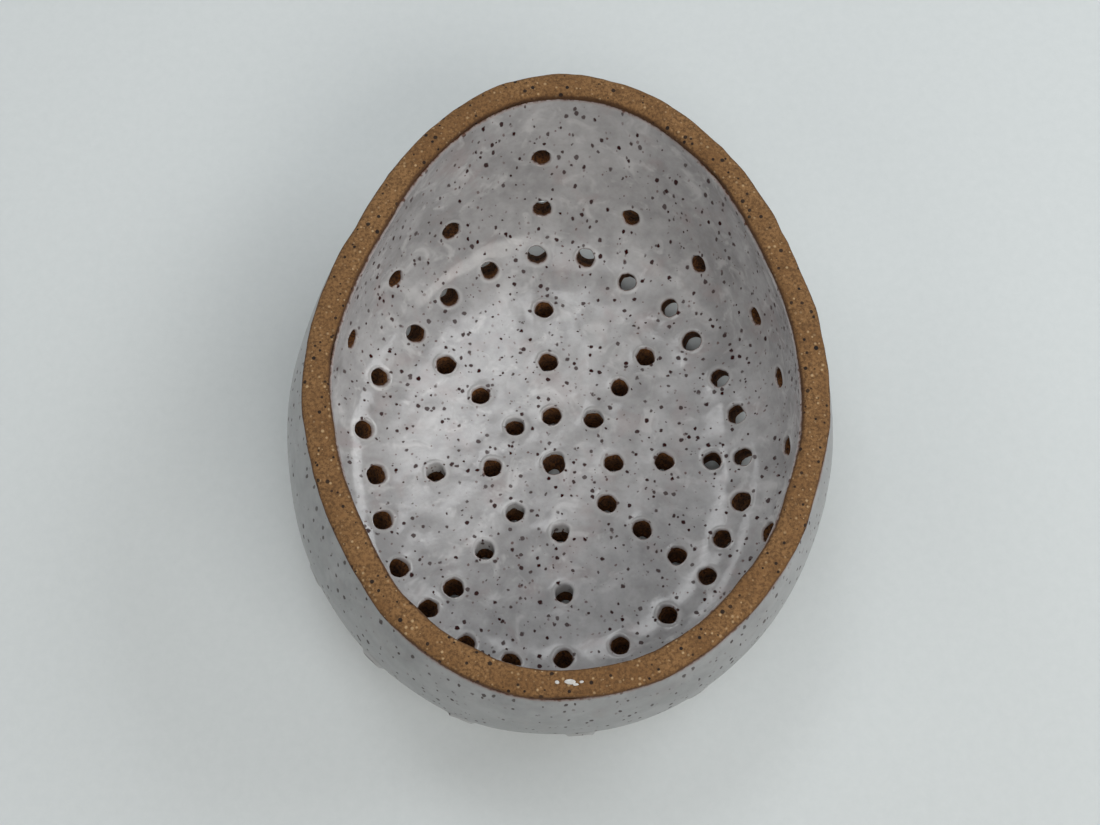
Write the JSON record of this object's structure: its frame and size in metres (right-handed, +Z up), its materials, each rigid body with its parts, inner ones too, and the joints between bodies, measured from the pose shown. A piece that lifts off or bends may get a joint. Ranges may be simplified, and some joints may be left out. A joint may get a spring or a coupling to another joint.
{
  "type": "flower frog",
  "caption": "Egg-shaped pierced pottery bowl for holding flower stems, speckled glaze inside and out, bare rounded clay rim.",
  "frame": {"origin": "centre of the bounding box in plan, on the flat bare base", "axes": "+Z up out of the bowl's mouth, +Y along the length towards the pointed end of the egg outline, +X across the width"},
  "size_m": [0.1196, 0.1454, 0.05],
  "materials": {
    "body_clay": "bare dark brown fired stoneware, rough, in the stem holes and under the base",
    "rim_clay": "bare tan stoneware, matt, sandy, with dark iron specks",
    "inner_glaze": "satin off-white grey glaze with dark brown iron specks",
    "outer_glaze": "satin off-white blue-grey glaze with fainter iron specks",
    "splash_glaze": "glossy white glaze"
  },
  "bodies": {
    "root": {"clay_wall": "body_clay", "rim_band": "rim_clay", "inner_glaze": "inner_glaze", "outer_glaze": "outer_glaze", "glaze_splash": "splash_glaze"}
  },
  "joints": []
}
